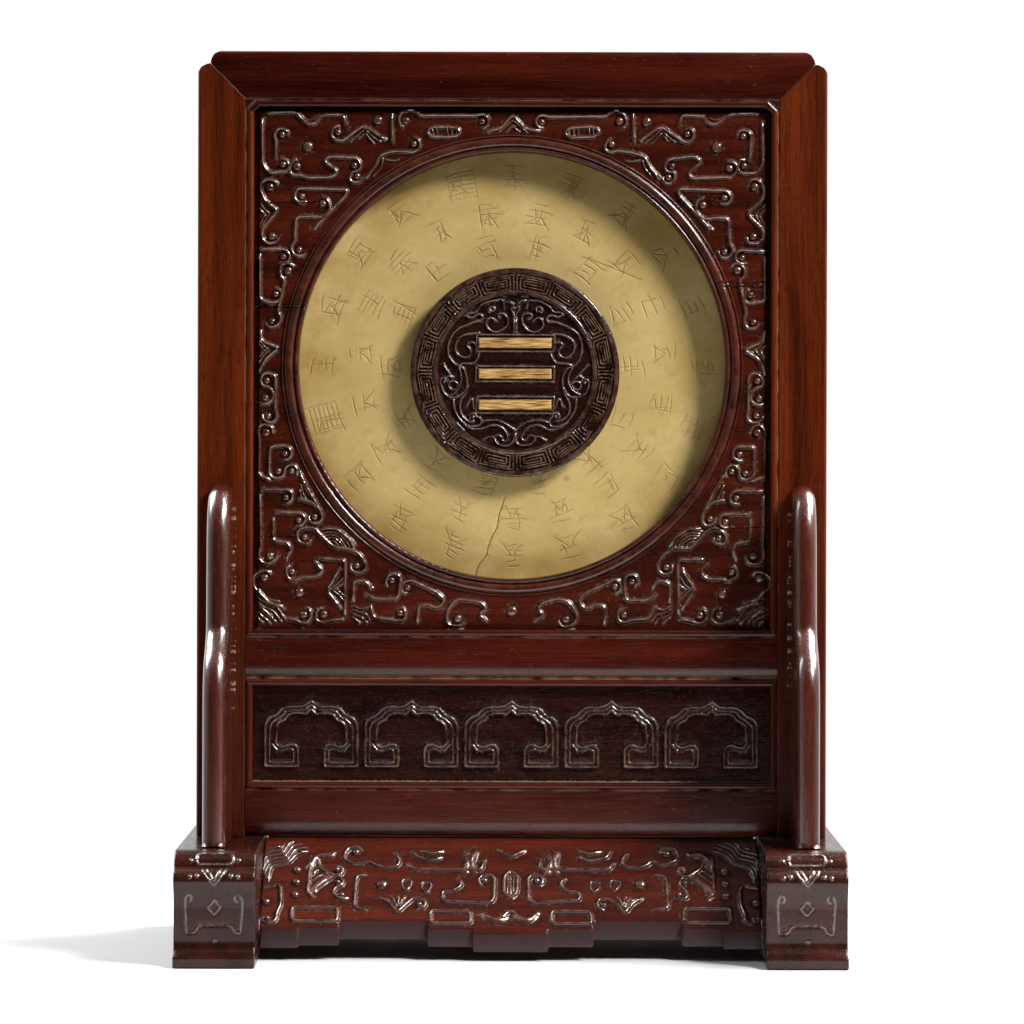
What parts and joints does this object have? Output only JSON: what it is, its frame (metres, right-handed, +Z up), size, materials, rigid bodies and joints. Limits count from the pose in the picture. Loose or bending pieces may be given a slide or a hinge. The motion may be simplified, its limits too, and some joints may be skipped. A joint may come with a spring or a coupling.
{
  "type": "table screen",
  "caption": "Carved hardwood table screen on two shoe feet, with a jade disc and a round carved boss set in a moulded opening.",
  "frame": {"origin": "centre of the footprint, on the surface that the feet stand on", "axes": "+Z up, the carved front faces -Y, +X to the right as seen from the front"},
  "size_m": [0.2282, 0.126, 0.3144],
  "materials": {
    "polished_wood": "dense dark reddish-brown hardwood, waxed and polished, with worn ridges",
    "celadon_jade": "yellowish-green jade, smooth and faintly mottled, not see-through"
  },
  "bodies": {
    "root": {"foot_left": "polished_wood", "foot_right": "polished_wood", "stile_left": "polished_wood", "stile_right": "polished_wood", "top_rail": "polished_wood", "middle_rail": "polished_wood", "bottom_rail": "polished_wood", "carved_panel": "polished_wood", "back_board": "polished_wood", "lower_panel": "polished_wood", "jade_disc": "celadon_jade", "boss": "polished_wood", "bracket_front_left": "polished_wood", "bracket_front_right": "polished_wood", "bracket_back_left": "polished_wood", "bracket_back_right": "polished_wood", "apron_front": "polished_wood", "apron_back": "polished_wood"}
  },
  "joints": []
}
